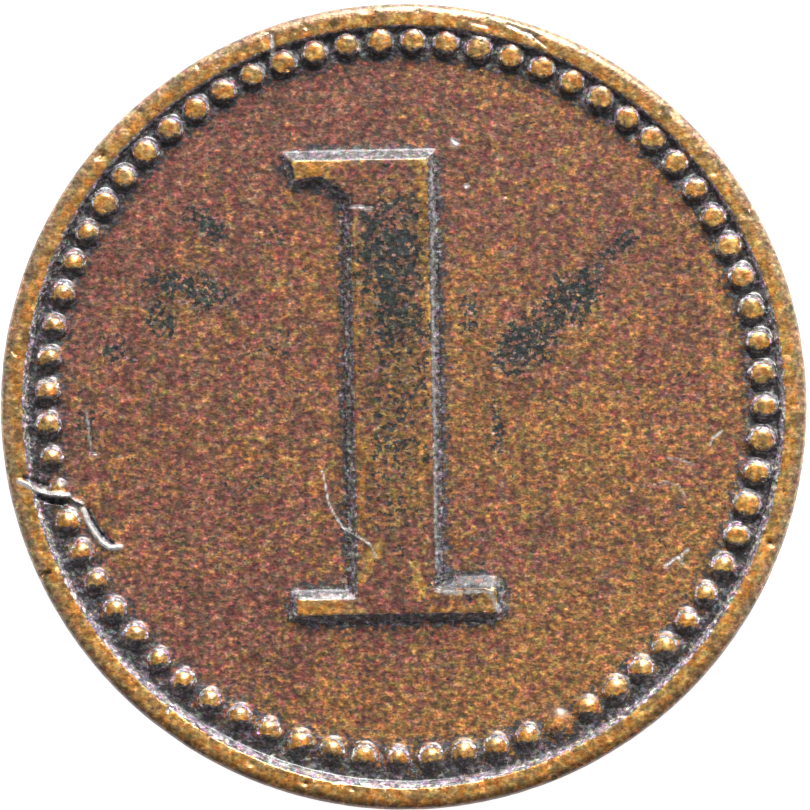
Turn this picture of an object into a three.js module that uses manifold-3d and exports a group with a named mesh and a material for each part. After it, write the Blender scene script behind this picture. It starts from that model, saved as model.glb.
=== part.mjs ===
// A struck transit token: one disc of bronze with a raised rim, a border of round beads and a
// slab-serif numeral on each face. Millimetres, +Z up. The token lies on its reverse rim, with its
// centre on the Z axis, the numeral's face upwards and the top of the numeral towards +Y.

import * as THREE from 'three';
import { mergeVertices } from 'three/addons/utils/BufferGeometryUtils.js';
import Module from 'manifold-3d';

// Blank
const DIAMETER = 24;
const THICKNESS = 1.8; // over the two rims
const BLANK_SIDES = 128;

// Rim, the same on both faces
const RIM_RISE = 0.32; // rim land above the field
const RIM_LAND_WIDTH = 0.36;
const RIM_SLOPE_WIDTH = 0.2; // the inner slope, down to the field
const EDGE_ROUNDING = 0.28;
const EDGE_ROUNDING_STEPS = 3;

// Border of beads, struck a little off the centre of the blank
const BEAD_COUNT = 68;
const BEAD_CIRCLE_RADIUS = 10.67;
const BEAD_BASE_RADIUS = 0.36;
const BEAD_TOP_RADIUS = 0.24;
const BEAD_HEIGHT = 0.27;
const BEAD_SIDES = 8;
const FIRST_BEAD_DEGREES = 88.8;
const DIE_OFFSET_X = 0.05;
const DIE_OFFSET_Y = 0.2;

// Numeral, measured over its flat top; its sides slope out to the field
const NUMERAL_RELIEF = 0.28;
const NUMERAL_DRAFT = 0.28; // how far the sides spread on the way down
const NUMERAL_HEIGHT = 13.5;
const NUMERAL_TILT_DEGREES = 1.05;
const NUMERAL_FOOT_X = -0.2; // middle of the stem at its foot
const NUMERAL_FOOT_Y = -6.14;
const STEM_WIDTH = 2.27;
const FOOT_LEFT = -2.93;
const FOOT_LEFT_HEIGHT = 0.44;
const FOOT_RIGHT_TOP = 2.7; // the right end of the foot is cut at a slant
const FOOT_RIGHT = 3.0;
const FOOT_RIGHT_HEIGHT = 0.6;
const FLAG_LEFT = -2.93;
const FLAG_TIP_HEIGHT = 0.64;
const FLAG_TIP_CUT = 0.2;
const FLAG_WAIST_HEIGHT = 0.44;
const FLAG_WAIST_X = -2.0;
const FLAG_ROOT_HEIGHT = 1.0;
const CURVE_STEPS = 4;

// What is struck on the blank is rooted this deep in it, so that it joins as one body
const ROOT_DEPTH = 0.1;
const MERGE_DISTANCE = 1e-5;

const radians = THREE.MathUtils.degToRad;
const wasm = await Module();
wasm.setup();

/** A closed solid from a geometry, with shared vertices merged and empty triangles left out. */
function solidFrom(geometry) {
  const bare = geometry.clone();
  bare.deleteAttribute('normal');
  bare.deleteAttribute('uv');
  const merged = mergeVertices(bare, MERGE_DISTANCE);
  const corners = merged.index.array;
  const triangles = [];
  for (let i = 0; i < corners.length; i += 3) {
    const [a, b, c] = corners.slice(i, i + 3);
    if (a !== b && b !== c && c !== a) triangles.push(a, b, c);
  }
  return new wasm.Manifold(
    new wasm.Mesh({
      numProp: 3,
      vertProperties: new Float32Array(merged.attributes.position.array),
      triVerts: new Uint32Array(triangles),
    }),
  );
}

/** A geometry for a mesh from a finished solid. */
function geometryFrom(solid) {
  const result = solid.getMesh();
  const geometry = new THREE.BufferGeometry();
  geometry.setAttribute('position', new THREE.BufferAttribute(result.vertProperties, 3));
  geometry.setIndex(new THREE.BufferAttribute(result.triVerts, 1));
  geometry.computeVertexNormals();
  return geometry;
}

/** A solid of revolution about Z from [radius, height] pairs that start and end on the axis. */
function revolved(profile, sides) {
  const points = profile.map(([radius, height]) => new THREE.Vector2(radius, height));
  return new THREE.LatheGeometry(points, sides).rotateX(Math.PI / 2);
}

/** Half of the blank's profile, from the middle of one face to the middle of the edge. */
function faceProfile() {
  const edge = DIAMETER / 2;
  const top = THICKNESS / 2;
  const landInner = edge - EDGE_ROUNDING - RIM_LAND_WIDTH;
  const profile = [
    [0, top - RIM_RISE],
    [landInner - RIM_SLOPE_WIDTH, top - RIM_RISE],
    [landInner, top],
  ];
  for (let step = 0; step <= EDGE_ROUNDING_STEPS; step += 1) {
    const turn = (step / EDGE_ROUNDING_STEPS) * (Math.PI / 2);
    profile.push([
      edge - EDGE_ROUNDING + EDGE_ROUNDING * Math.sin(turn),
      top - EDGE_ROUNDING + EDGE_ROUNDING * Math.cos(turn),
    ]);
  }
  return profile;
}

/** The blank with its two rims, centred on the origin. */
function blankGeometry() {
  const upper = faceProfile();
  const lower = upper.map(([radius, height]) => [radius, -height]).reverse();
  return revolved([...upper, ...lower].reverse(), BLANK_SIDES);
}

/** One bead of the border, standing on z = 0. */
function beadGeometry() {
  return revolved(
    [
      [0, -ROOT_DEPTH],
      [BEAD_BASE_RADIUS, -ROOT_DEPTH],
      [BEAD_BASE_RADIUS, 0],
      [BEAD_TOP_RADIUS, BEAD_HEIGHT],
      [0, BEAD_HEIGHT],
    ],
    BEAD_SIDES,
  );
}

/** The outline of the numeral's flat top, with its foot on y = 0 and its stem on x = 0. */
function numeralOutline() {
  const stem = STEM_WIDTH / 2;
  const top = NUMERAL_HEIGHT;
  const outline = new THREE.Shape();
  outline.moveTo(FOOT_LEFT, 0);
  outline.lineTo(FOOT_RIGHT, 0);
  outline.lineTo(FOOT_RIGHT_TOP, FOOT_RIGHT_HEIGHT);
  outline.lineTo(stem, FOOT_RIGHT_HEIGHT);
  outline.lineTo(stem, top);
  outline.lineTo(FLAG_LEFT, top);
  outline.lineTo(FLAG_LEFT + FLAG_TIP_CUT, top - FLAG_TIP_HEIGHT);
  outline.quadraticCurveTo(
    (FLAG_LEFT + FLAG_TIP_CUT + FLAG_WAIST_X) / 2,
    top - FLAG_WAIST_HEIGHT,
    FLAG_WAIST_X,
    top - FLAG_WAIST_HEIGHT,
  );
  outline.quadraticCurveTo(-stem, top - FLAG_WAIST_HEIGHT, -stem, top - FLAG_ROOT_HEIGHT);
  outline.lineTo(-stem, FOOT_LEFT_HEIGHT);
  outline.lineTo(FOOT_LEFT, FOOT_LEFT_HEIGHT);
  return outline;
}

/** The numeral with its sloping sides, placed and tilted, standing on z = 0. */
function numeralGeometry() {
  const block = new THREE.ExtrudeGeometry(numeralOutline(), {
    depth: ROOT_DEPTH,
    curveSegments: CURVE_STEPS,
    bevelEnabled: true,
    bevelThickness: NUMERAL_RELIEF,
    bevelSize: NUMERAL_DRAFT,
    bevelSegments: 1,
  });
  block.translate(0, 0, -ROOT_DEPTH);
  block.rotateZ(radians(NUMERAL_TILT_DEGREES));
  block.translate(NUMERAL_FOOT_X, NUMERAL_FOOT_Y, 0);
  return block;
}

/** Everything that one die leaves on the field, standing on z = 0. */
function struckGeometries() {
  const struck = [numeralGeometry()];
  for (let bead = 0; bead < BEAD_COUNT; bead += 1) {
    const angle = radians(FIRST_BEAD_DEGREES - (360 / BEAD_COUNT) * bead);
    const x = DIE_OFFSET_X + BEAD_CIRCLE_RADIUS * Math.cos(angle);
    const y = DIE_OFFSET_Y + BEAD_CIRCLE_RADIUS * Math.sin(angle);
    struck.push(beadGeometry().rotateZ(angle).translate(x, y, 0));
  }
  return struck;
}

/** The whole token, centred on the origin: the reverse is the obverse turned about Y. */
function tokenGeometry() {
  const field = THICKNESS / 2 - RIM_RISE;
  let token = solidFrom(blankGeometry());
  for (const geometry of struckGeometries()) {
    const obverse = geometry.translate(0, 0, field);
    const reverse = obverse.clone().rotateY(Math.PI);
    token = token.add(solidFrom(obverse)).add(solidFrom(reverse));
  }
  return geometryFrom(token);
}

const bronze = new THREE.MeshStandardMaterial({ color: 0x8c6446, roughness: 0.5, metalness: 0.85 });

const struckToken = new THREE.Mesh(tokenGeometry(), bronze);
struckToken.name = 'struck_token';
struckToken.position.z = THICKNESS / 2;

const token = new THREE.Group();
token.add(struckToken);

export default token;
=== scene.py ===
"""A struck transit token in worn bronze.

One disc of bronze with a raised rim, a border of round beads and a slab-serif numeral on each face. The
token is modelled in millimetres on the bench, as a blank, two borders and two numerals that are fused into
one skin, marked by handling, rubbed smooth and then brought to metres in the place of the CAD token.
"""

import logging
import math
import random
from collections.abc import Callable, Iterator
from contextlib import contextmanager
from dataclasses import dataclass, field
from enum import Enum

import bmesh
import bpy
import numpy as np
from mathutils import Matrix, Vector


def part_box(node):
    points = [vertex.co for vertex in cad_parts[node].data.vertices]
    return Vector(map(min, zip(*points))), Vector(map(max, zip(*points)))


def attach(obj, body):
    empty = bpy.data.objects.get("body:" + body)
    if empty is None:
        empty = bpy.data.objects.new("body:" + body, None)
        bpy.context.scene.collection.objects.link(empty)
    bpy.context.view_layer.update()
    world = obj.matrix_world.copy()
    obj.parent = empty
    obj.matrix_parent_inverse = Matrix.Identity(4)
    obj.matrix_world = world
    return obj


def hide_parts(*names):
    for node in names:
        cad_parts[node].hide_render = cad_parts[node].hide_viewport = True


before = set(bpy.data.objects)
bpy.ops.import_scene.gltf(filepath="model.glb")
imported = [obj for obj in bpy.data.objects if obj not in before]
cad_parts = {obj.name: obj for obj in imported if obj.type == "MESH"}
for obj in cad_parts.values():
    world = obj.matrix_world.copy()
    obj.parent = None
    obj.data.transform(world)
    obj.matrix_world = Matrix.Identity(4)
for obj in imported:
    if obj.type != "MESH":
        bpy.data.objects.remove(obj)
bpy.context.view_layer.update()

log = logging.getLogger("token")

MM = 0.001
NODE = "struck_token"
BODY = "root"
# How near to a line or a level a point lies to be picked as on it, in millimetres.
TOUCH = 1e-3

Pair = tuple[float, float]
Triple = tuple[float, float, float]
Path = tuple[Pair, ...]
Colour = tuple[float, float, float, float]


# --- Bench: selecting, editing and finishing a piece ------------------------------------------------


class Pick(Enum):
    """What an edit works on."""

    POINTS = "VERT"
    EDGES = "EDGE"
    FACES = "FACE"


def clear_selection() -> None:
    """Deselects every object."""
    bpy.ops.object.select_all(action="DESELECT")


def take(piece: bpy.types.Object) -> None:
    """Makes the piece the only selected and the active object."""
    clear_selection()
    piece.select_set(True)
    bpy.context.view_layer.objects.active = piece


@contextmanager
def editing(piece: bpy.types.Object, pick: Pick) -> Iterator[None]:
    """Opens a piece in edit mode with nothing selected, and closes it again.

    Args:
        piece: the mesh object to edit.
        pick: whether points, edges or faces are picked.
    """
    take(piece)
    bpy.ops.object.mode_set(mode="EDIT")
    bpy.ops.mesh.select_mode(type=pick.value)
    bpy.ops.mesh.select_all(action="DESELECT")
    yield
    bpy.ops.object.mode_set(mode="OBJECT")


def select_where(piece: bpy.types.Object, pick: Pick, wanted: Callable[..., bool]) -> int:
    """Selects the elements of a piece in edit mode that a test picks out, and no others.

    Args:
        piece: the mesh object in edit mode.
        pick: the kind of element that is tested.
        wanted: the test, given one bmesh element.

    Returns:
        How many elements are selected.
    """
    bpy.ops.mesh.select_all(action="DESELECT")
    shape = bmesh.from_edit_mesh(piece.data)
    elements = {Pick.POINTS: shape.verts, Pick.EDGES: shape.edges, Pick.FACES: shape.faces}[pick]
    chosen = [element for element in elements if wanted(element)]
    for element in chosen:
        element.select_set(True)
    bmesh.update_edit_mesh(piece.data)
    return len(chosen)


def finish_with(piece: bpy.types.Object, kind: str, **settings: object) -> None:
    """Adds a modifier with its settings and applies it.

    Args:
        piece: the object to change.
        kind: the modifier's type.
        settings: the modifier's own properties.
    """
    take(piece)
    modifier = piece.modifiers.new(kind.lower(), kind)
    for name, value in settings.items():
        setattr(modifier, name, value)
    bpy.ops.object.modifier_apply(modifier=modifier.name)


def fix_place(piece: bpy.types.Object) -> None:
    """Moves an object's place, turn and scale into its mesh."""
    take(piece)
    bpy.ops.object.transform_apply(location=True, rotation=True, scale=True)


def copy_of(piece: bpy.types.Object) -> bpy.types.Object:
    """Returns a copy of a piece with a mesh of its own."""
    twin = piece.copy()
    twin.data = piece.data.copy()
    bpy.context.scene.collection.objects.link(twin)
    return twin


def join(pieces: list[bpy.types.Object], name: str) -> bpy.types.Object:
    """Joins pieces into the first of them.

    Args:
        pieces: the objects to join.
        name: the joined object's name.

    Returns:
        The joined object.
    """
    clear_selection()
    for piece in pieces:
        piece.select_set(True)
    bpy.context.view_layer.objects.active = pieces[0]
    bpy.ops.object.join()
    pieces[0].name = name
    return pieces[0]


def points_of(piece: bpy.types.Object) -> np.ndarray:
    """Returns the piece's points as an array of rows."""
    points = np.empty(len(piece.data.vertices) * 3, np.float32)
    piece.data.vertices.foreach_get("co", points)
    return points.reshape(-1, 3).astype(np.float64)


def set_points(piece: bpy.types.Object, points: np.ndarray) -> None:
    """Moves the piece's points to the rows of an array."""
    piece.data.vertices.foreach_set("co", points.astype(np.float32).ravel())
    piece.data.update()


def fade(distance: np.ndarray, near: float, far: float) -> np.ndarray:
    """Returns 1 up to near and 0 from far on, with a smooth fall between them."""
    t = np.clip((far - distance) / (far - near), 0.0, 1.0)
    return t * t * (3.0 - 2.0 * t)


# --- The struck shapes, in millimetres --------------------------------------------------------------


@dataclass
class Blank:
    """The disc with its two rims."""

    radius: float
    thickness: float
    rim_rise: float = 0.32
    edge_rounding: float = 0.28
    land_width: float = 0.36
    slope_width: float = 0.2
    sides: int = 360
    # A face points straight up when its normal's z is larger than this.
    level: float = 0.999

    @property
    def field_height(self) -> float:
        """How far the field lies from the middle of the thickness."""
        return self.thickness / 2 - self.rim_rise

    def build(self) -> bpy.types.Object:
        """Turns a cylinder into the rimmed blank, centred on the origin.

        Returns:
            The blank.
        """
        clear_selection()
        bpy.ops.mesh.primitive_cylinder_add(
            vertices=self.sides, radius=self.radius, depth=self.thickness, end_fill_type="NGON"
        )
        blank = bpy.context.object
        blank.name = "blank"
        half = self.thickness / 2
        with editing(blank, Pick.EDGES):
            select_where(
                blank, Pick.EDGES, lambda edge: all(abs(abs(v.co.z) - half) < TOUCH for v in edge.verts)
            )
            bpy.ops.mesh.bevel(offset=self.edge_rounding, segments=6, affect="EDGES", clamp_overlap=False)
            for side in (1, -1):
                bpy.ops.mesh.select_mode(type=Pick.FACES.value)
                select_where(blank, Pick.FACES, lambda face: face.normal.z * side > self.level)
                bpy.ops.mesh.inset(thickness=self.land_width)
                bpy.ops.mesh.inset(thickness=self.slope_width, depth=-self.rim_rise)
        return blank


@dataclass
class BeadBorder:
    """The ring of beads inside one rim."""

    count: int = 68
    circle_radius: float = 10.67
    offset: Pair = (0.05, 0.2)
    first_degrees: float = 88.8
    root_depth: float = 0.1
    sides: int = 20
    # Radius and height of each ring of a bead, from its skirt up to its rubbed top.
    full_rings: Path = ((0.54, 0), (0.47, 0.035), (0.41, 0.085), (0.375, 0.18), (0.33, 0.25), (0.2, 0.285))
    lean_rings: Path = (
        *((0.52, 0), (0.44, 0.035), (0.375, 0.08), (0.35, 0.14)),
        *((0.28, 0.205), (0.19, 0.26), (0.09, 0.3)),
    )
    # Beads on this side were struck full, the others lean, with some of each where they meet.
    full_side_degrees: float = 62.0
    least_fullness: float = 0.1
    mingling: float = 0.25
    # How beads differ: off the circle, in size, in how oval they are and in height.
    wobble: float = 0.02
    sizes: Pair = (0.93, 1.03)
    ovals: Pair = (0.93, 1.05)
    rises: Pair = (0.94, 1.03)
    # Beads that were struck badly or hit later: index, size and rise.
    spoilt: tuple[Triple, ...] = ((28, 0.95, 0.75), (29, 1.12, 0.5), (48, 0.82, 0.6), (49, 0.86, 0.85))
    seed: int = 11

    def master(self, rings: Path) -> bpy.types.Object:
        """Raises one bead from a disc, ring by ring.

        Args:
            rings: the radius and height of each ring.

        Returns:
            The bead, standing on z = 0 with its root below.
        """
        clear_selection()
        radius = rings[0][0]
        bpy.ops.mesh.primitive_circle_add(
            vertices=self.sides, radius=radius, fill_type="NGON", location=(0, 0, -self.root_depth)
        )
        bead = bpy.context.object
        bead.name = "bead"
        fix_place(bead)
        with editing(bead, Pick.FACES):
            bpy.ops.mesh.select_all(action="SELECT")
            level = -self.root_depth
            for next_radius, next_height in rings:
                scale = next_radius / radius
                bpy.ops.mesh.extrude_region_move(
                    TRANSFORM_OT_translate={"value": (0, 0, next_height - level)}
                )
                bpy.ops.transform.resize(value=(scale, scale, 1))
                radius, level = next_radius, next_height
            bpy.ops.mesh.select_all(action="SELECT")
            bpy.ops.mesh.normals_make_consistent(inside=False)
        return bead

    def build(self, field_height: float) -> bpy.types.Object:
        """Copies the bead round its circle, each copy a little different.

        Args:
            field_height: where the beads stand.

        Returns:
            All the beads as one object.
        """
        chance = random.Random(self.seed)
        full, lean = self.master(self.full_rings), self.master(self.lean_rings)
        spoilt = {index: (size, rise) for index, size, rise in self.spoilt}
        beads = []
        for index in range(self.count):
            degrees = self.first_degrees - 360 / self.count * index
            angle = math.radians(degrees)
            radius = self.circle_radius + chance.uniform(-self.wobble, self.wobble)
            size = chance.uniform(*self.sizes)
            rise = chance.uniform(*self.rises)
            if index in spoilt:
                size, rise = spoilt[index]
            fullness = math.cos(math.radians(degrees - self.full_side_degrees))
            fullness += chance.uniform(-self.mingling, self.mingling)
            copy = copy_of(full if fullness > self.least_fullness else lean)
            copy.location = (
                self.offset[0] + radius * math.cos(angle),
                self.offset[1] + radius * math.sin(angle),
                field_height,
            )
            copy.rotation_euler = (0, 0, angle + chance.uniform(0, 1))
            copy.scale = (size, size * chance.uniform(*self.ovals), rise)
            beads.append(copy)
        bpy.data.objects.remove(full)
        bpy.data.objects.remove(lean)
        border = join(beads, "bead_border")
        fix_place(border)
        return border


@dataclass
class Numeral:
    """The numeral one with slab serifs, drawn by its base, from which the sides slope in."""

    height: float = 13.5
    stem_width: float = 2.27
    relief: float = 0.28
    draft: float = 0.29
    root_depth: float = 0.1
    tilt_degrees: float = 1.05
    foot: Pair = (-0.2, -6.14)
    foot_left: float = -2.93
    foot_left_height: float = 0.44
    foot_right: float = 2.95
    foot_right_height: float = 0.6
    foot_right_slant: float = 0.3
    toe_slope: float = 0.2
    flag_left: float = -2.93
    flag_waist: float = 0.44
    flag_tip: float = 0.64
    flag_tip_cut: float = 0.22
    flag_root: float = 0.88
    # How the two points on the flag's lower edge move, counted from the tip to the stem.
    flag_bow: Path = ((0.0, -0.06), (-0.05, -0.02))
    # How many steps a serif is pulled out in.
    steps: int = 3

    def build(self, field_height: float) -> bpy.types.Object:
        """Cuts a plane to the stem, pulls the serifs and the flag out of it, and raises it.

        Args:
            field_height: where the numeral stands.

        Returns:
            The numeral.
        """
        spread = self.draft
        half = self.stem_width / 2 + spread
        bottom, top = -spread, self.height + spread
        clear_selection()
        bpy.ops.mesh.primitive_plane_add(size=1, location=(0, (top + bottom) / 2, 0))
        numeral = bpy.context.object
        numeral.name = "numeral"
        numeral.scale = (2 * half, top - bottom, 1)
        fix_place(numeral)
        heel = self.foot_left_height + spread
        toe = self.foot_right_height + spread
        flag_foot = self.height - self.flag_waist - spread
        with editing(numeral, Pick.EDGES):
            for level in (heel, toe, flag_foot):
                bpy.ops.mesh.select_all(action="SELECT")
                bpy.ops.mesh.bisect(plane_co=(0, level, 0), plane_no=(0, 1, 0))
            self._pull(numeral, -half, bottom, heel, self.foot_left - spread + half)
            self._pull(numeral, half, bottom, toe, self.foot_right + spread - half)
            self._pull(numeral, -half, flag_foot, top, self.flag_left - spread + half)
            bpy.ops.mesh.select_mode(type=Pick.POINTS.value)
            self._shape_ends(numeral, bottom, toe, flag_foot)
            bpy.ops.mesh.select_mode(type=Pick.FACES.value)
            bpy.ops.mesh.select_all(action="SELECT")
            bpy.ops.mesh.extrude_region_move(TRANSFORM_OT_translate={"value": (0, 0, self.root_depth)})
            bpy.ops.mesh.inset(thickness=self.draft, depth=self.relief, use_even_offset=True)
            bpy.ops.mesh.select_mode(type=Pick.POINTS.value)
            self._widen_toe(numeral, half, toe)
            bpy.ops.mesh.select_all(action="SELECT")
            bpy.ops.mesh.normals_make_consistent(inside=False)
        numeral.location = (self.foot[0], self.foot[1], field_height - self.root_depth)
        numeral.rotation_euler = (0, 0, math.radians(self.tilt_degrees))
        fix_place(numeral)
        return numeral

    def _pull(self, numeral: bpy.types.Object, x: float, low: float, high: float, reach: float) -> None:
        """Extrudes the stem's edge at x between two heights sideways, in steps.

        Args:
            numeral: the flat numeral in edit mode.
            x: which side of the stem.
            low: the lower end of the edge.
            high: the upper end of the edge.
            reach: how far to pull, with its sign.
        """
        for step in range(self.steps):
            line = x + reach * step / self.steps
            select_where(
                numeral,
                Pick.EDGES,
                lambda edge: all(
                    abs(v.co.x - line) < TOUCH and low - TOUCH < v.co.y < high + TOUCH for v in edge.verts
                ),
            )
            bpy.ops.mesh.extrude_region_move(TRANSFORM_OT_translate={"value": (reach / self.steps, 0, 0)})

    def _shape_ends(self, numeral: bpy.types.Object, bottom: float, toe: float, flag_foot: float) -> None:
        """Slants the toe's end and gives the flag its tip, waist and root.

        Args:
            numeral: the flat numeral in edit mode.
            bottom: the height of its lowest edge.
            toe: the height of the toe's upper edge.
            flag_foot: the height of the flag's lower edge.
        """
        right_end = self.foot_right + self.draft
        left_end = self.flag_left - self.draft
        half = self.stem_width / 2 + self.draft
        step = (left_end + half) / self.steps
        moves = (
            (right_end, toe, (-self.foot_right_slant, 0.0)),
            (left_end, flag_foot, (self.flag_tip_cut, self.flag_waist - self.flag_tip)),
            (-half + 2 * step, flag_foot, self.flag_bow[0]),
            (-half + step, flag_foot, self.flag_bow[1]),
            (-half, flag_foot, (0.0, self.flag_waist - self.flag_root)),
        )
        for x, y, (move_x, move_y) in moves:
            select_where(
                numeral, Pick.POINTS, lambda v: abs(v.co.x - x) < TOUCH and abs(v.co.y - y) < TOUCH
            )
            bpy.ops.transform.translate(value=(move_x, move_y, 0))

    def _widen_toe(self, numeral: bpy.types.Object, half: float, toe: float) -> None:
        """Lets the slope above the toe spread further over the field than the others do.

        Args:
            numeral: the raised numeral in edit mode.
            half: half the stem's width at its base.
            toe: the height of the toe's upper edge at its base.
        """
        select_where(
            numeral,
            Pick.POINTS,
            lambda v: v.co.z < self.root_depth + TOUCH
            and v.co.x > half + TOUCH
            and abs(v.co.y - toe) < TOUCH,
        )
        bpy.ops.transform.translate(value=(0, self.toe_slope, 0))


# --- Handling marks ---------------------------------------------------------------------------------


@dataclass(frozen=True)
class Scratch:
    """A line cut or pushed into one face: depth is positive for a groove and negative for a burr."""

    path: Path
    width: float
    depth: float
    # How pale the mark is painted: partly fresh metal, partly a painted highlight where its wall or edge
    # catches the lamps.
    bright: float = 1.0
    rubbed: float = 0.0


@dataclass(frozen=True)
class Nick:
    """A small round or long dent in one face."""

    place: Pair
    size: Pair
    depth: float
    turn_degrees: float = 0.0
    # How pale the nick is painted: partly fresh metal, partly a painted glint.
    bright: float = 0.0


def distance_to_path(points: np.ndarray, path: Path) -> np.ndarray:
    """Returns how far each point lies from a path, seen from above.

    Args:
        points: rows of x, y.
        path: the path's corners.

    Returns:
        One distance for each point.
    """
    nearest = np.full(len(points), np.inf)
    for start, end in zip(path, path[1:]):
        origin = np.array(start)
        along = np.array(end) - origin
        t = np.clip((points - origin) @ along / (along @ along), 0.0, 1.0)
        nearest = np.minimum(nearest, np.linalg.norm(points - origin - t[:, None] * along, axis=1))
    return nearest


# Each scratch is a path, its width, its depth, how pale it is painted, for fresh metal and for painted
# highlights, and how golden it is rubbed.
OBVERSE_SCRATCHES = (
    # The gouge across the left of the rim: its raised lines are painted near white, partly fresh metal and
    # partly a painted highlight on walls that face the lamps; the grooves beside them are left unpainted.
    Scratch(
        (
            (-11.45, -2.22), (-11.21, -2.344), (-10.87, -2.504), (-10.52, -2.611), (-9.99, -2.65),
        ),
        0.17, -0.12,
    ),
    Scratch(((-11.3, -2.08), (-10.95, -2.24), (-10.6, -2.34)), 0.15, 0.12, 0.0),
    Scratch(((-10.9, -2.7), (-10.5, -2.8), (-10.05, -2.86)), 0.16, 0.1, 0.0),
    Scratch(((-9.99, -2.65), (-9.75, -2.796), (-9.51, -2.903)), 0.08, -0.04, 0.7),
    Scratch(
        (
            (-9.54, -3.06), (-9.406, -3.429), (-9.194, -3.78), (-8.98, -4.045), (-8.769, -4.203),
            (-8.424, -4.176),
        ),
        0.17, -0.05,
    ),
    Scratch(((-9.4, -3.06), (-9.26, -3.38), (-9.05, -3.7), (-8.84, -3.93), (-8.66, -4.04)), 0.13, 0.12, 0.0),
    Scratch(
        (
            (-2.414, -1.916), (-2.342, -2.317), (-2.247, -2.84), (-2.033, -3.266), (-1.798, -3.599),
            (-1.513, -3.789), (-1.18, -3.977), (-0.992, -4.119), (-0.826, -4.476),
        ),
        0.055, -0.02,
    ),
    Scratch(((-1.62, 5.93), (-1.35, 5.97), (-0.95, 5.92)), 0.08, 0.05, 0.5),
    Scratch(((-3.89, 10.55), (-3.93, 11.1)), 0.14, 0.12),
    # Painted highlights: these three lines have no depth and only lay pale colour along the numeral's right
    # top edge, the toe's top edge and end, and the heel's top edge, where those edges catch the lamps.
    Scratch(((0.82, 7.3), (0.86, 3.5), (0.92, -1.5), (0.98, -4.8)), 0.11, 0.0, 0.3),
    Scratch(((1.05, -5.49), (2.55, -5.5), (2.68, -5.8), (2.82, -6.1)), 0.12, 0.0, 0.6),
    Scratch(((-3.1, -5.7), (-1.5, -5.68)), 0.12, 0.0, 0.4),
    Scratch(((-1.42, 5.7), (-1.38, 2.0), (-1.3, -1.0)), 0.26, 0.0, 0.0, 0.5),
    Scratch(((-1.17, -1.0), (-1.2, -2.1), (-1.25, -3.4)), 0.22, 0.0, 0.0, 0.7),
    Scratch(((0.55, -0.9), (0.53, -1.8), (0.5, -2.8)), 0.2, 0.0, 0.0, 0.65),
    Scratch(((0.5, 6.9), (0.62, 4.8), (0.66, 2.6)), 0.5, 0.0, 0.0, 0.65),
    Scratch(((0.66, 2.6), (0.7, 0.0), (0.78, -5.0)), 0.16, 0.0, 0.0, 0.45),
    Scratch(((-1.2, -4.4), (-0.6, -4.0), (-1.3, -5.2)), 0.5, 0.0, 0.0, 0.6),
    Scratch(((0.3, -4.6), (0.55, -5.6)), 0.5, 0.0, 0.0, 0.6),
    Scratch(((7.8, -4.72), (8.1, -4.5), (8.25, -4.4), (8.45, -4.25)), 0.1, 0.05, 0.8),
    Scratch(((8.2, -4.42), (8.32, -4.66)), 0.1, 0.05, 0.3),
    Scratch(((-9.45, -0.1), (-9.36, -0.7), (-9.32, -1.35), (-9.12, -1.4)), 0.08, 0.05, 0.35),
    Scratch(((9.11, -1.14), (9.2, -0.93), (9.47, -0.72)), 0.08, 0.03, 0.6),
    Scratch(((7.38, -2.36), (7.8, -2.2), (8.2, -2.35), (8.4, -2.66)), 0.06, 0.02, 0.4),
    Scratch(((7.85, -1.5), (8.2, -1.55), (8.7, -1.75)), 0.06, 0.02, 0.35),
    Scratch(((1.97, 11.44), (2.5, 11.32)), 0.12, 0.03, 0.3),
    Scratch(((3.1, 11.36), (3.55, 11.16), (3.8, 11.1)), 0.14, 0.04, 0.4),
    Scratch(((3.7, 11.12), (3.9, 10.97), (4.25, 10.7)), 0.09, 0.04, 0.4),
    Scratch(((1.91, 11.11), (2.21, 10.97), (2.56, 10.93)), 0.09, -0.02, 0.7),
)

OBVERSE_NICKS = (
    # The first five nicks are pale specks: partly fresh metal, partly painted glints.
    Nick((1.524, 7.902), (0.22, 0.1), 0.06, -35, 1.0),
    Nick((1.88, 6.59), (0.14, 0.09), 0.06, 0, 0.8),
    Nick((-1.87, 5.52), (0.08, 0.07), 0.04, 0, 1.0),
    Nick((-1.69, 2.2), (0.08, 0.1), 0.05, 20, 1.0),
    Nick((-7.0, -9.02), (0.12, 0.14), 0.06, 0, 0.8),
    Nick((-10.62, -4.95), (0.22, 0.12), 0.16, 20),
    Nick((-2.9, -11.2), (0.16, 0.1), 0.1, 0),
    Nick((4.45, -11.0), (0.18, 0.12), 0.1, 10),
    Nick((10.9, -4.05), (0.22, 0.14), 0.12, -30),
    Nick((-9.02, 7.48), (0.26, 0.16), 0.12, 35),
    Nick((-4.28, -3.52), (0.2, 0.12), 0.04, 0),
    Nick((2.95, -0.85), (0.12, 0.45), 0.05, 0),
)


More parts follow.
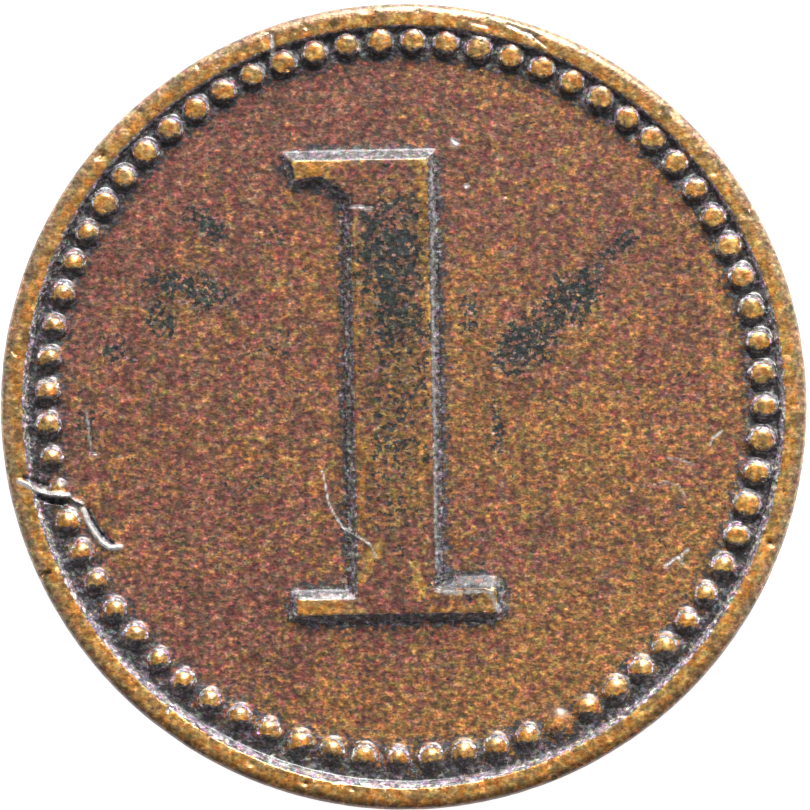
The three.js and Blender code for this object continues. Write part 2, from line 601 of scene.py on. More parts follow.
@dataclass
class Handling:
    """What years of use do to the skin: scratches, nicks, a battered rim and rubbed streaks, with painted
    highlights along some edges and gouge walls.
    """

    radius: float
    half_thickness: float
    scratches: tuple[Scratch, ...] = OBVERSE_SCRATCHES
    nicks: tuple[Nick, ...] = OBVERSE_NICKS
    # A scratch is at its full depth up to the first share of its width, and ends at the second.
    profile: Pair = (0.15, 0.62)
    stray_nicks: int = 150
    stray_share: float = 0.93
    stray_sizes: Pair = (0.05, 0.14)
    rim_nicks: int = 130
    rim_band: Pair = (11.25, 11.98)
    rim_sizes: Pair = (0.12, 0.34)
    slimness: Pair = (0.4, 1.0)
    depths: Pair = (0.015, 0.05)
    seed: int = 5

    def stray(self) -> list[Nick]:
        """Returns small nicks scattered over one face and larger ones along its rim."""
        chance = random.Random(self.seed)
        found = []
        for count in range(self.stray_nicks + self.rim_nicks):
            on_rim = count >= self.stray_nicks
            if on_rim:
                reach = chance.uniform(*self.rim_band)
            else:
                reach = self.radius * math.sqrt(chance.random()) * self.stray_share
            angle = chance.uniform(0, 2 * math.pi)
            size = chance.uniform(*(self.rim_sizes if on_rim else self.stray_sizes))
            found.append(
                Nick(
                    (reach * math.cos(angle), reach * math.sin(angle)),
                    (size, size * chance.uniform(*self.slimness)),
                    chance.uniform(*self.depths),
                    chance.uniform(0, 180),
                )
            )
        return found

    def wear(self, points: np.ndarray) -> tuple[np.ndarray, np.ndarray, np.ndarray]:
        """Marks both faces.

        Args:
            points: the token's points, centred on the origin.

        Returns:
            The moved points, how pale each is painted, for fresh metal and for painted highlights, and how
            golden it is rubbed.
        """
        moved = points.copy()
        bright = np.zeros(len(points))
        rubbed = np.zeros(len(points))
        for side in (1.0, -1.0):
            face = points[:, 2] * side > self.half_thickness * 0.35
            flat = points[:, :2] * (side, 1.0)
            marks = self.scratches if side > 0 else ()
            for mark in marks:
                core, brim = (share * mark.width for share in self.profile)
                share = fade(distance_to_path(flat, mark.path), core, brim) * face
                moved[:, 2] -= side * mark.depth * share
                bright = np.maximum(bright, mark.bright * share)
                rubbed = np.maximum(rubbed, mark.rubbed * share)
            nicks = [*self.nicks, *self.stray()] if side > 0 else self.stray()[::-1]
            for nick in nicks:
                share = self._within(flat, nick, side) * face
                moved[:, 2] -= side * nick.depth * share
                bright = np.maximum(bright, nick.bright * share)
        return moved, bright, rubbed

    @staticmethod
    def _within(flat: np.ndarray, nick: Nick, side: float) -> np.ndarray:
        """Returns how deep inside a nick each point lies, from 0 to 1.

        Args:
            flat: rows of x, y.
            nick: the nick.
            side: 1 for the obverse and -1 for the reverse, where the stray nicks are turned half round.
        """
        away = flat - np.array(nick.place) * side
        turn = math.radians(nick.turn_degrees)
        across = away @ np.array([[math.cos(turn), -math.sin(turn)], [math.sin(turn), math.cos(turn)]])
        return fade(np.hypot(across[:, 0] / nick.size[0], across[:, 1] / nick.size[1]), 0.2, 1.0)


# --- Reading the relief for dirt, painted shade and rubbing -----------------------------------------


@dataclass
class ReliefReader:
    """Reads how far each point stands out of, or lies in, what is around it on its face."""

    radius: float
    cell: float = 0.05
    margin: float = 1.0

    def _grid_size(self) -> int:
        """Returns how many cells a side of the map has."""
        return int(2 * (self.radius + self.margin) / self.cell)

    def _cells(self, points: np.ndarray) -> tuple[np.ndarray, np.ndarray]:
        """Returns the row and column of each point's cell."""
        size = self._grid_size()
        spots = ((points[:, :2] + self.radius + self.margin) / self.cell).astype(int)
        spots = np.clip(spots, 0, size - 1)
        return spots[:, 1], spots[:, 0]

    def _blurred(self, grid: np.ndarray, reach: float) -> np.ndarray:
        """Returns the map blurred over a reach in millimetres."""
        rows = np.fft.fftfreq(grid.shape[0])[:, None]
        columns = np.fft.rfftfreq(grid.shape[1])[None, :]
        spread = np.exp(-2 * (math.pi * reach / self.cell) ** 2 * (rows**2 + columns**2))
        return np.fft.irfft2(np.fft.rfft2(grid) * spread, grid.shape)

    def stand_out(self, points: np.ndarray, heights: np.ndarray, reach: float, outside: float) -> np.ndarray:
        """Compares each point's height with the height around it.

        Args:
            points: the points of one face.
            heights: their heights above the field.
            reach: how far around is looked, in millimetres.
            outside: the height past the token's edge.

        Returns:
            How far each point stands out, negative where it lies in a recess.
        """
        size = self._grid_size()
        rows, columns = self._cells(points)
        total = np.zeros((size, size))
        count = np.zeros((size, size))
        np.add.at(total, (rows, columns), heights)
        np.add.at(count, (rows, columns), 1.0)
        thin = 1.2 * self.cell
        filled = self._blurred(total, thin) / np.maximum(self._blurred(count, thin), 1e-6)
        axis = (np.arange(size) + 0.5) * self.cell - self.radius - self.margin
        away = np.hypot(axis[:, None], axis[None, :])
        filled = np.where(away > self.radius, outside, filled)
        around = self._blurred(filled, reach)
        return heights - around[rows, columns]


# --- Shader sums ------------------------------------------------------------------------------------


class Signal:
    """A shader socket that adds Math nodes when it is used in a sum."""

    def __init__(self, graph: "Graph", socket: bpy.types.NodeSocket) -> None:
        """Keeps the socket and the graph it belongs to."""
        self.graph = graph
        self.socket = socket

    def _sum(self, operation: str, *terms: object) -> "Signal":
        """Returns a Math node's result for these terms."""
        return self.graph.node("ShaderNodeMath", {"operation": operation}, dict(enumerate(terms)))

    def __add__(self, other: object) -> "Signal":
        """Returns self + other."""
        return self._sum("ADD", self, other)

    def __radd__(self, other: object) -> "Signal":
        """Returns other + self."""
        return self._sum("ADD", other, self)

    def __sub__(self, other: object) -> "Signal":
        """Returns self - other."""
        return self._sum("SUBTRACT", self, other)

    def __rsub__(self, other: object) -> "Signal":
        """Returns other - self."""
        return self._sum("SUBTRACT", other, self)

    def __mul__(self, other: object) -> "Signal":
        """Returns self * other."""
        return self._sum("MULTIPLY", self, other)

    def __rmul__(self, other: object) -> "Signal":
        """Returns other * self."""
        return self._sum("MULTIPLY", other, self)

    def __pow__(self, other: object) -> "Signal":
        """Returns self raised to other."""
        return self._sum("POWER", self, other)

    def __rpow__(self, other: object) -> "Signal":
        """Returns other raised to self."""
        return self._sum("POWER", other, self)

    def least(self, other: object) -> "Signal":
        """Returns the smaller of the two."""
        return self._sum("MINIMUM", self, other)

    def most(self, other: object) -> "Signal":
        """Returns the larger of the two."""
        return self._sum("MAXIMUM", self, other)

    def step(self, low: float, high: float) -> "Signal":
        """Returns 0 below low and 1 above high, smoothly; low may be the larger."""
        return self.graph.node(
            "ShaderNodeMapRange",
            {"interpolation_type": "SMOOTHSTEP"},
            {"Value": self, "From Min": low, "From Max": high},
        )


class Graph:
    """A material's node tree."""

    def __init__(self, name: str) -> None:
        """Makes an empty node material."""
        self.material = bpy.data.materials.new(name)
        self.material.use_nodes = True
        self.tree = self.material.node_tree
        self.tree.nodes.clear()

    def node(
        self, kind: str, settings: dict[str, object], inputs: dict[object, object], output: object = 0
    ) -> Signal:
        """Adds a node.

        Args:
            kind: the node's type.
            settings: its properties, set first.
            inputs: its sockets' values or signals, by name or number.
            output: the name or number of the socket to return.

        Returns:
            The node's output.
        """
        made = self.tree.nodes.new(kind)
        for name, value in settings.items():
            setattr(made, name, value)
        for name, value in inputs.items():
            if isinstance(value, Signal):
                self.tree.links.new(value.socket, made.inputs[name])
            else:
                made.inputs[name].default_value = value
        return Signal(self, made.outputs[output])

    def mix(self, share: object, first: object, second: object, blend: str = "MIX") -> Signal:
        """Returns two colours mixed by a share."""
        return self.node(
            "ShaderNodeMix", {"data_type": "RGBA", "blend_type": blend}, {0: share, 6: first, 7: second}, 2
        )

    def noise(
        self, where: Signal, scale: float, detail: float = 2.0, roughness: float = 0.5, output: str = "Fac"
    ) -> Signal:
        """Returns noise from 0 to 1, or a noise of colours, with scale in waves for each millimetre."""
        inputs = {"Vector": where, "Scale": scale, "Detail": detail, "Roughness": roughness}
        return self.node("ShaderNodeTexNoise", {}, inputs, output)

    def attribute(self, name: str) -> Signal:
        """Returns the value that the mesh holds under a name."""
        return self.node("ShaderNodeAttribute", {"attribute_name": name}, {}, "Fac")

    def vector(self, operation: str, inputs: dict[object, object], output: str = "Vector") -> Signal:
        """Returns a Vector Math node's result."""
        return self.node("ShaderNodeVectorMath", {"operation": operation}, inputs, output)

    def shifted(self, where: Signal, x: float, y: float, z: float = 0.0) -> Signal:
        """Returns coordinates moved by an amount."""
        return self.vector("ADD", {0: where, 1: (x, y, z)})

    def stretched(self, where: Signal, x: float, y: float, z: float) -> Signal:
        """Returns coordinates multiplied along each axis."""
        return self.vector("MULTIPLY", {0: where, 1: (x, y, z)})

    def towards(self, where: Signal, direction: Triple) -> Signal:
        """Returns how far a place lies along a direction."""
        return self.vector("DOT_PRODUCT", {0: where, 1: direction}, "Value")

    def away(self, where: Signal) -> Signal:
        """Returns how far a place lies from the middle."""
        return self.vector("LENGTH", {0: where}, "Value")

    def scaled(self, value: Signal, factor: object) -> Signal:
        """Returns a colour or coordinates multiplied by one factor."""
        return self.vector("SCALE", {0: value, "Scale": factor})

    def finished(self, surface: Signal) -> bpy.types.Material:
        """Links a surface to the material's output and returns the material."""
        output = self.tree.nodes.new("ShaderNodeOutputMaterial")
        self.tree.links.new(surface.socket, output.inputs["Surface"])
        return self.material


def tint(red: int, green: int, blue: int) -> Colour:
    """Returns a display colour, each part from 0 to 255, as the linear colour that shaders take."""
    parts = [part / 255 for part in (red, green, blue)]
    linear = [p / 12.92 if p <= 0.04045 else ((p + 0.055) / 1.055) ** 2.4 for p in parts]
    return (*linear, 1.0)


# --- Finishes ---------------------------------------------------------------------------------------


@dataclass(frozen=True)
class Tarnish:
    """A dark patch of tarnish: its middle, its half lengths, its turn and how dense it is."""

    place: Pair
    size: Pair
    turn_degrees: float
    density: float


OBVERSE_TARNISH = (
    Tarnish((-6.3, 3.5), (1.9, 0.75), -8, 0.9),
    Tarnish((-7.1, 2.7), (0.7, 0.8), 30, 0.9),
    Tarnish((-8.4, 1.6), (0.8, 0.5), -20, 0.85),
    Tarnish((-5.9, 5.4), (0.9, 0.5), -30, 0.85),
    Tarnish((-4.0, 5.0), (0.6, 0.4), 20, 0.6),
    Tarnish((-3.9, 1.7), (0.9, 0.5), 0, 0.5),
    Tarnish((-4.5, -2.4), (1.3, 0.4), 35, 0.4),
    Tarnish((3.6, 1.9), (1.5, 1.0), 40, 1.0),
    Tarnish((4.9, 3.1), (1.9, 0.8), 48, 1.0),
    Tarnish((6.4, 4.8), (0.9, 0.5), 45, 0.85),
    Tarnish((-0.3, 4.6), (1.6, 2.2), 0, 1.0),
    Tarnish((-0.2, 2.6), (1.4, 1.4), 0, 0.9),
    Tarnish((-0.2, 0.2), (1.3, 3.4), 0, 0.55),
    Tarnish((-9.4, -0.6), (0.4, 1.0), 5, 0.7),
    Tarnish((2.75, -0.6), (0.3, 1.1), 0, 0.9),
    Tarnish((2.0, 2.9), (0.35, 1.0), 0, 0.75),
    Tarnish((-0.2, -3.0), (1.2, 2.3), 0, 0.42),
    Tarnish((8.05, -3.4), (0.4, 1.4), -30, 0.4),
    Tarnish((1.9, -5.25), (1.3, 0.5), 0, 1.0),
)

OBVERSE_VERDIGRIS = (
    Tarnish((7.77, -2.42), (0.34, 0.2), 0, 0.9),
    Tarnish((7.68, -3.31), (0.32, 0.3), 0, 0.7),
    Tarnish((7.85, -3.75), (0.26, 0.2), 0, 0.8),
)


@dataclass(frozen=True)
class WornBronze:
    """Toned bronze: red-brown on the field, golden where it is rubbed, black where dirt has settled and where
    shade is painted, pale where highlights are painted.
    """

    brown: Colour = tint(129, 83, 61)
    maroon: Colour = tint(121, 65, 52)
    ochre: Colour = tint(148, 101, 48)
    gold: Colour = tint(226, 178, 100)
    amber: Colour = tint(206, 134, 52)
    umber: Colour = tint(96, 56, 34)
    tan: Colour = tint(182, 164, 142)
    slope: Colour = tint(112, 104, 104)
    bead_slope: Colour = tint(160, 148, 150)
    bare_and_highlight: Colour = tint(240, 234, 226)
    soot_and_shade: Colour = tint(33, 35, 38)
    olive: Colour = tint(90, 86, 76)
    tarnish_black: Colour = tint(38, 46, 44)
    warm_side: Triple = (0.012, -0.005, 0.0)
    pale_side: Triple = (0.006, -0.014, 0.0)
    verdigris: Colour = tint(88, 98, 56)
    # How far the patches' outlines are frayed, in millimetres, and how much the grain differs in hue.
    fray: float = 1.2
    tinge: float = 1.3
    # Where each zone fades in, in millimetres from the middle, above the underside or towards the foot, where
    # the rolled edge is painted in shade.
    border_from: Pair = (9.6, 9.9)
    border_to: Pair = (11.55, 11.25)
    rolled_from: Pair = (11.6, 11.82)
    obverse_from: Pair = (0.8, 1.0)
    raised_from: Pair = (1.6, 1.72)
    edge_shade_from: Pair = (4.0, 11.0)
    # A patch fades between these shares of its half lengths.
    patch_fall: Pair = (1.25, 0.3)
    bump_depth: float = 0.05 * MM
    coat_roughness: float = 0.29
    coat_ior: float = 1.7
    patches: tuple[Tarnish, ...] = OBVERSE_TARNISH
    green_spots: tuple[Tarnish, ...] = OBVERSE_VERDIGRIS

    def _patch(self, graph: Graph, where: Signal, patch: Tarnish) -> Signal:
        """Returns how far inside a patch a place is, from 0 to its density.

        Args:
            graph: the material.
            where: coordinates in millimetres.
            patch: the patch.
        """
        local = graph.node(
            "ShaderNodeMapping",
            {"vector_type": "TEXTURE"},
            {
                "Vector": where,
                "Location": (*patch.place, 0),
                "Rotation": (0, 0, math.radians(patch.turn_degrees)),
                "Scale": (*patch.size, 1),
            },
        )
        return graph.away(local).step(*self.patch_fall) * patch.density

    def _patches(self, graph: Graph, where: Signal, patches: tuple[Tarnish, ...]) -> Signal:
        """Returns how far inside the nearest of several patches a place is."""
        deepest = self._patch(graph, where, patches[0])
        for patch in patches[1:]:
            deepest = deepest.most(self._patch(graph, where, patch))
        return deepest

    def build(self) -> bpy.types.Material:
        """Returns the material."""
        graph = Graph("worn_bronze")
        own = graph.node("ShaderNodeTexCoord", {}, {}, "Object")
        where = graph.scaled(own, 1 / MM)
        parts = graph.node("ShaderNodeSeparateXYZ", {}, {0: where}, "X")
        height = Signal(graph, parts.socket.node.outputs["Z"])
        flat = graph.stretched(where, 1, 1, 0)

        broad = graph.noise(graph.shifted(where, 3, 7), 0.13, 2)
        middle = graph.noise(graph.shifted(where, 31, 5), 0.9, 3, 0.6)
        hues = graph.noise(graph.shifted(where, 70, 40), 4.4, 1, 0.5)
        blots = graph.noise(graph.shifted(where, 12, 80), 4.4, 1, 0.5)
        grain = graph.noise(graph.stretched(where, 0.85, 1.15, 1), 7.0, 3, 0.7)
        streaks = graph.noise(graph.stretched(where, 3.0, 0.3, 3.0), 1.0, 2, 0.6)
        crud = graph.noise(graph.shifted(where, 50, 20), 5.6, 3, 0.7)
        stains = graph.noise(graph.shifted(where, 90, 33), 2.4, 2, 0.6)

        wear = graph.attribute("wear")
        grime_and_shade = graph.attribute("grime_and_shade")
        bright = graph.attribute("bright")
        steep = ((graph.attribute("steep") * 1.1 + (crud - 0.5) * 2.4).step(0.3, 0.7)).least(
            graph.attribute("steep").step(0.0, 0.12)
        )

        warmth = graph.towards(flat, self.warm_side)
        toned = graph.mix(blots.step(0.44, 0.62), self.brown, self.maroon)
        golden = (hues + (middle - 0.5) * 0.5 + (broad - 0.5) * 0.9 + warmth).step(0.4, 0.64)
        toned = graph.mix(golden * 0.9, toned, self.ochre)
        shine = graph.mix((stains * 0.6 + blots * 0.4).step(0.42, 0.58), self.gold, self.amber)

        swirl = graph.noise(where, 1.1, 3, output="Color")
        middled = graph.shifted(flat, -self.fray / 2, -self.fray / 2)
        moved = graph.vector("MULTIPLY_ADD", {0: swirl, 1: (self.fray, self.fray, 0), 2: middled})
        obverse = height.step(*self.obverse_from)
        patch = self._patches(graph, moved, self.patches) * obverse
        green = self._patches(graph, where, self.green_spots) * obverse
        blotch = graph.noise(graph.shifted(where, 5, 60), 5.5, 2, 0.7)
        spotted = (blotch + (stains - 0.5) * 0.4 + patch * 0.24).step(0.665, 0.72)
        flecks = (crud + patch * 0.1).step(0.62, 0.74)

        rubbed = ((wear + (middle - 0.5) * 0.5 + (hues - 0.5) * 0.7).step(0.25, 0.75) * (1 - steep)).most(0)
        colour = graph.mix(rubbed * 0.92, toned, shine)
        colour = graph.mix(stains.step(0.48, 0.38) * rubbed * 0.45, colour, self.umber)
        colour = graph.mix(patch * 0.3, colour, self.olive)
        colour = graph.mix(flecks * 0.4, colour, self.bead_slope)
        colour = graph.mix(green * 0.6, colour, self.verdigris)
        colour = graph.mix(spotted * (0.95 - rubbed * 0.3), colour, self.tarnish_black)
        away = graph.away(flat)
        border = away.step(*self.border_from) * (away.step(*self.border_to) * 0.75 + 0.25)
        rolled = away.step(*self.rolled_from)
        # Painted highlight and shade: the rolled edge is painted pale on its upper side, where it catches the
        # lamps, and dark umber towards the foot, where it is turned from them.
        edge_shade = graph.towards(flat, (0.0, -1.0, 0.0)).step(*self.edge_shade_from)
        colour = graph.mix(rolled * 0.45, colour, graph.mix(edge_shade, self.tan, self.umber))
        side = graph.mix(border, graph.mix(patch * 0.5, self.slope, self.tarnish_black), self.bead_slope)
        colour = graph.mix(steep * 0.94, colour, side)
        # Dirt and painted shade: recesses and the beads' down-facing sides go near-black, both for the dirt
        # that settles there and for the shade that falls there.
        sooty_and_shaded = (grime_and_shade + (crud - 0.5) * 2.6).step(0.2, 0.7) * (grime_and_shade * 3).least(1) * (1 - steep * 0.7)
        glints = (crud + (grain - 0.5) * 0.5).step(0.47, 0.58) * grime_and_shade.step(0.35, 0.7)
        colour = graph.mix(sooty_and_shaded * 0.96, colour, self.soot_and_shade)
        colour = graph.mix(glints * 0.75, colour, self.slope)
        fall = graph.towards(flat, self.pale_side)
        fine = (grain - 0.5) * (8.5 - rubbed * 3.5 + steep * 1.5) + (crud - 0.5) * steep * 8.5
        raised = height.step(*self.raised_from) * away.step(*self.border_from[::-1]) * (1 - rubbed)
        light_dark = fine + (stains - 0.5) * 1.6 + (streaks - 0.5) * (1.4 - steep * 1.4) + fall
        light_dark = light_dark - raised * 0.22 + rolled * ((blotch - 0.5) * 3.0 - 0.3)
        tinge = graph.noise(graph.shifted(where, 8, 8), 5.2, 1, output="Color")
        spread = graph.vector("MULTIPLY_ADD", {0: tinge, 1: (self.tinge,) * 3, 2: (1 - self.tinge / 2,) * 3})
        colour = graph.mix(1 - rubbed * 0.5, colour, graph.mix(1.0, colour, spread, "MULTIPLY"))
        colour = graph.scaled(colour, 2**light_dark)
        # Pale where the bright attribute is set: fresh metal in the marks, and painted highlights on gouge
        # walls, specks and numeral edges.
        bare_and_highlight_share = (bright + (crud - 0.5) * (1 - bright) * bright * 8).least(1).most(0)
        colour = graph.mix(bare_and_highlight_share, colour, self.bare_and_highlight)

        metal = (0.1 + rubbed * 0.3 + bare_and_highlight_share * 0.4).least(1).most(0)
        rough = (0.5 - rubbed * 0.17 + sooty_and_shaded * 0.2 + (grain - 0.5) * 0.4).least(1).most(0.22)
        bumps = grain * (0.7 - rubbed * 0.3) + hues * 0.5 + middle * 0.8 + crud * (steep * 0.6 + grime_and_shade) * 1.8
        bump = {"Strength": 0.8, "Distance": self.bump_depth, "Height": bumps}
        normal = graph.node("ShaderNodeBump", {}, bump, "Normal")
        # Lacquer that has gone from the tarnished patches and from the outer edge.
        coat = (crud.step(0.34, 0.5) * 0.6 + 0.4) * (1 - patch * 0.7) * (1 - rolled * 0.6)
        surface = graph.node(
            "ShaderNodeBsdfPrincipled",
            {},
            {
                "Base Color": colour,
                "Metallic": metal,
                "Roughness": rough,
                "Normal": normal,
                "Coat Weight": coat,
                "Coat Roughness": self.coat_roughness,
                "Coat IOR": self.coat_ior,
            },
        )
        return graph.finished(surface)


@dataclass(frozen=True)
class PaleCard:
    """The plain pale floor."""

    shade: Colour = (0.9, 0.9, 0.9, 1.0)
    glow: float = 0.92

    def build(self) -> bpy.types.Material:
        """Returns the material."""
        graph = Graph("pale_card")
        surface = graph.node(
            "ShaderNodeBsdfPrincipled",
            {},
            {
                "Base Color": self.shade,
                "Roughness": 0.9,
                "Emission Color": (1, 1, 1, 1),
                "Emission Strength": self.glow,
            },
        )
        return graph.finished(surface)


# --- The token --------------------------------------------------------------------------------------


@dataclass
class Token:
    """The whole token, in the place and at the size of the CAD node."""

    low: Vector
    high: Vector
    skin_cell: float = 0.05
    # Unevenness of the skin: a name, the length of its waves and how far they swing.
    waves: tuple[tuple[str, float, float], ...] = (("rolling", 1.6, 0.024), ("grain", 0.3, 0.022))
    most_faces: int = 188000
    # From this radius on, only steeper slopes hold the grey patina, since the beads are rubbed further down.
    border_from: float = 10.0
    border_to: float = 11.3
    # Over this reach a point stands out if it is rubbed, and over these it lies low if dirt settles there or
    # shade is painted there.
    rub_reach: float = 0.55
    dirt_and_shade_reaches: Pair = (0.16, 0.4)
    finish: WornBronze = field(default_factory=WornBronze)

    def build(self) -> bpy.types.Object:
        """Models, marks and dresses the token.

        Returns:
            The finished object, in metres.
        """
        size = (self.high - self.low) / MM
        blank = Blank(radius=size.x / 2, thickness=size.z)
        token = self._fused(blank)
        self._mark(token, blank)
        self._settle(token, blank)
        bpy.context.view_layer.update()
        return token

    def _fused(self, blank: Blank) -> bpy.types.Object:
        """Builds the struck shapes and fuses them into one skin.

        Args:
            blank: the disc that they are struck on.

        Returns:
            One object, in millimetres, centred on the origin.
        """
        pieces = [blank.build()]
        log.info("blank: %d faces", len(pieces[0].data.polygons))
        for struck in (BeadBorder().build(blank.field_height), Numeral().build(blank.field_height)):
            reverse = copy_of(struck)
            reverse.rotation_euler = (0, math.pi, 0)
            fix_place(reverse)
            pieces += [struck, reverse]
            log.info("%s: %d faces on each side", struck.name, len(struck.data.polygons))
        token = join(pieces, "token")
        finish_with(token, "REMESH", mode="VOXEL", voxel_size=self.skin_cell, adaptivity=0.0)
        finish_with(token, "SMOOTH", factor=0.5, iterations=2)
        for name, wave, swing in self.waves:
            clouds = bpy.data.textures.new(name, "CLOUDS")
            clouds.noise_scale = wave
            clouds.noise_depth = 2
            finish_with(
                token, "DISPLACE", texture=clouds, strength=swing, mid_level=0.5, texture_coords="LOCAL"
            )
        log.info("fused skin: %d faces", len(token.data.polygons))
        return token

    def _mark(self, token: bpy.types.Object, blank: Blank) -> None:
        """Marks the skin, thins it to its face count and records where it is bright.

        Args:
            token: the fused skin.
            blank: the disc's sizes.
        """
        handling = Handling(blank.radius, blank.thickness / 2)
        moved, bright, rubbed = handling.wear(points_of(token))
        set_points(token, moved)
        self._record(token, "bright", bright)
        self._record(token, "rubbed", rubbed)
        triangles = sum(len(face.vertices) - 2 for face in token.data.polygons)
        marks = token.vertex_groups.new(name="marks")
        for index in np.nonzero(np.maximum(bright, rubbed * 0.3) > 0.05)[0]:
            marks.add([int(index)], float(min(1.0, bright[index] * 2)), "REPLACE")
        finish_with(
            token,
            "DECIMATE",
            ratio=min(1.0, self.most_faces / triangles),
            use_collapse_triangulate=True,
            vertex_group="marks",
            invert_vertex_group=True,
            vertex_group_factor=1.0,
        )
        token.vertex_groups.clear()
        points = points_of(token)
        away = np.hypot(points[:, 0], points[:, 1])
        points[:, :2] *= np.minimum(1.0, blank.radius / np.maximum(away, 1e-9))[:, None]
        points[:, 2] = np.clip(points[:, 2], -blank.thickness / 2, blank.thickness / 2)
        set_points(token, points)
        self._read_relief(token, blank)
        log.info("thinned skin: %d faces", len(token.data.polygons))

    def _read_relief(self, token: bpy.types.Object, blank: Blank) -> None:
        """Records where rubbing, dirt and painted shade are, from how the skin stands and which way it faces.

        Args:
            token: the thinned skin.
            blank: the disc's sizes.
        """
        points = points_of(token)
        wear = np.zeros(len(points))
        grime_and_shade = np.zeros(len(points))
        reader = ReliefReader(blank.radius)
        for side in (1.0, -1.0):
            face = points[:, 2] * side > 0.2
            there = points[face]
            heights = there[:, 2] * side - blank.field_height
            proud = reader.stand_out(there, heights, self.rub_reach, outside=-0.1)
            near, wide = (reader.stand_out(there, heights, reach, outside=0.2) for reach in self.dirt_and_shade_reaches)
            border = np.hypot(there[:, 0], there[:, 1]) > self.border_from
            wear[face] = np.clip((proud - np.where(border, 0.03, 0.08)) / 0.08, 0, 1)
            # Dirt and painted shade: points that lie low against what is around them are darkened, for
            # settled dirt and for the shade that falls in recesses.
            grime_and_shade[face] = np.clip(-near / 0.09, 0, 1) * 0.6 + np.clip(-wide / 0.14, 0, 1) * 0.6
        away = np.hypot(points[:, 0], points[:, 1])
        inward = blank.radius - away
        # Painted shade: the outermost edge keeps less of its golden wear towards the bottom, the side turned
        # from the lamps, so it reads darker there.
        lower = np.clip(-points[:, 1] / blank.radius, 0, 1)
        wear = np.maximum(wear, 0.9 * fade(inward, 0.3, 0.5))
        wear *= 1.0 - (0.55 + 0.4 * lower) * fade(inward, 0.0, 0.26)
        grime_and_shade = np.maximum(grime_and_shade * (1.0 - fade(inward, 0.25, 0.4)), 0.2 * fade(inward, 0.0, 0.12))
        rubbed = np.empty(len(points), np.float32)
        token.data.attributes["rubbed"].data.foreach_get("value", rubbed)
        normals = np.empty(len(points) * 3, np.float32)
        token.data.vertices.foreach_get("normal", normals)
        lean = 1.0 - np.abs(normals.reshape(-1, 3)[:, 2])
        bordered = away > self.border_from
        steep = np.clip((lean - np.where(bordered, 0.19, 0.08)) / 0.18, 0, 1)
        steep *= fade(away, blank.radius - 0.6, blank.radius - 0.45)
        # Painted shade: the side of each bead that faces the numeral's foot, away from the lamps, is painted
        # near-black and kept out of the grey slope colour.
        painted_lee_shade = np.clip(-normals[1::3] * 2.0 * (bordered & (away < self.border_to)), 0, 1)
        steep *= 1.0 - 0.8 * painted_lee_shade
        grime_and_shade = np.maximum(grime_and_shade, painted_lee_shade)
        self._record(token, "steep", steep)
        self._record(token, "wear", np.clip(np.maximum(wear, rubbed), 0, 1))
        self._record(token, "grime_and_shade", np.clip(grime_and_shade, 0, 1))

    def _settle(self, token: bpy.types.Object, blank: Blank) -> None:
        """Brings the token to metres, in its place, and dresses it.

        Args:
            token: the skin in millimetres.
            blank: the disc's sizes.
        """
        take(token)
        bpy.ops.object.shade_smooth()
        token.scale = (MM, MM, MM)
        token.location = (self.low + self.high) / 2
        fix_place(token)
        token.data.materials.clear()
        token.data.materials.append(self.finish.build())

    @staticmethod
    def _record(token: bpy.types.Object, name: str, values: np.ndarray) -> None:
        """Writes one value for each point into the mesh."""
        held = token.data.attributes.get(name) or token.data.attributes.new(name, "FLOAT", "POINT")
        held.data.foreach_set("value", values.astype(np.float32))


# --- The studio -------------------------------------------------------------------------------------


@dataclass(frozen=True)
class Lamp:
    """A rectangular light that faces the token: where it hangs, its sides, its watts and its colour."""

    name: str
    place: Triple
    size: Pair
    power: float
    colour: Triple = (1.0, 1.0, 1.0)

    def hang(self) -> None:
        """Hangs the light."""
        lamp = bpy.data.lights.new(self.name, "AREA")
        lamp.shape = "RECTANGLE"
        lamp.size, lamp.size_y = self.size
        lamp.energy = self.power
        lamp.color = self.colour
        holder = bpy.data.objects.new(self.name, lamp)
        holder.location = self.place
        holder.rotation_euler = (-Vector(self.place)).to_track_quat("-Z", "Y").to_euler()
        bpy.context.scene.collection.objects.link(holder)


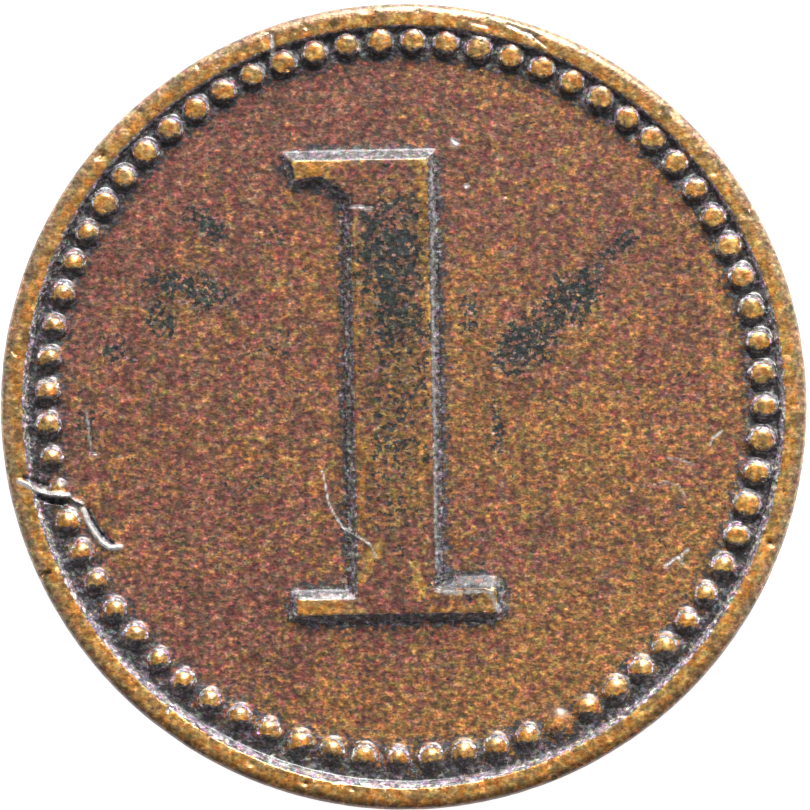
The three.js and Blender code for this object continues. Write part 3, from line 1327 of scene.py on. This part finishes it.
@dataclass
class Studio:
    """A pale floor, two strip lights behind the numeral's top and a camera straight above."""

    low: Vector
    high: Vector
    view_share: float = 807 / 810
    aim_offset: Pair = (0.000037, 0.00005)
    camera_height: float = 0.36
    sensor: float = 36.0
    nearest_seen: float = 0.01
    floor_side: float = 2.0
    floor_gap: float = 0.00001
    sky: Colour = (0.85, 0.97, 1.1, 1.0)
    sky_strength: float = 0.15
    lamps: tuple[Lamp, ...] = (
        Lamp("key", place=(0.031, 0.145, 0.134), size=(0.07, 0.045), power=0.4),
        Lamp("kicker", place=(0.038, 0.177, 0.084), size=(0.2, 0.03), power=0.36, colour=(0.95, 0.95, 1.0)),
    )

    def build(self) -> None:
        """Sets the floor, the lights and the camera."""
        self._floor()
        for lamp in self.lamps:
            lamp.hang()
        world = bpy.data.worlds.new("studio")
        world.use_nodes = True
        sky = world.node_tree.nodes["Background"].inputs
        sky["Color"].default_value = self.sky
        sky["Strength"].default_value = self.sky_strength
        bpy.context.scene.world = world
        bpy.context.scene.view_settings.view_transform = "Standard"
        self._camera()

    def _floor(self) -> None:
        """Lays the floor under the token."""
        clear_selection()
        bpy.ops.mesh.primitive_plane_add(size=self.floor_side, location=(0, 0, self.low.z - self.floor_gap))
        floor = bpy.context.object
        floor.name = "floor"
        fix_place(floor)
        floor.data.materials.append(PaleCard().build())

    def _camera(self) -> None:
        """Places the camera straight above the token."""
        width = (self.high.x - self.low.x) / self.view_share
        lens = bpy.data.cameras.new("camera")
        lens.sensor_width = self.sensor
        lens.lens = self.sensor * self.camera_height / width
        lens.clip_start = self.nearest_seen
        camera = bpy.data.objects.new("camera", lens)
        camera.location = (*self.aim_offset, self.high.z + self.camera_height)
        bpy.context.scene.collection.objects.link(camera)
        bpy.context.scene.camera = camera


def main() -> None:
    """Builds the token and the studio."""
    logging.basicConfig(level=logging.INFO, format="%(name)s: %(message)s")
    low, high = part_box(NODE)
    token = Token(Vector(low), Vector(high)).build()
    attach(token, BODY)
    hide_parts(NODE)
    log.info("token: %d faces", len(token.data.polygons))
    Studio(Vector(low), Vector(high)).build()


if __name__ == "__main__":
    main()
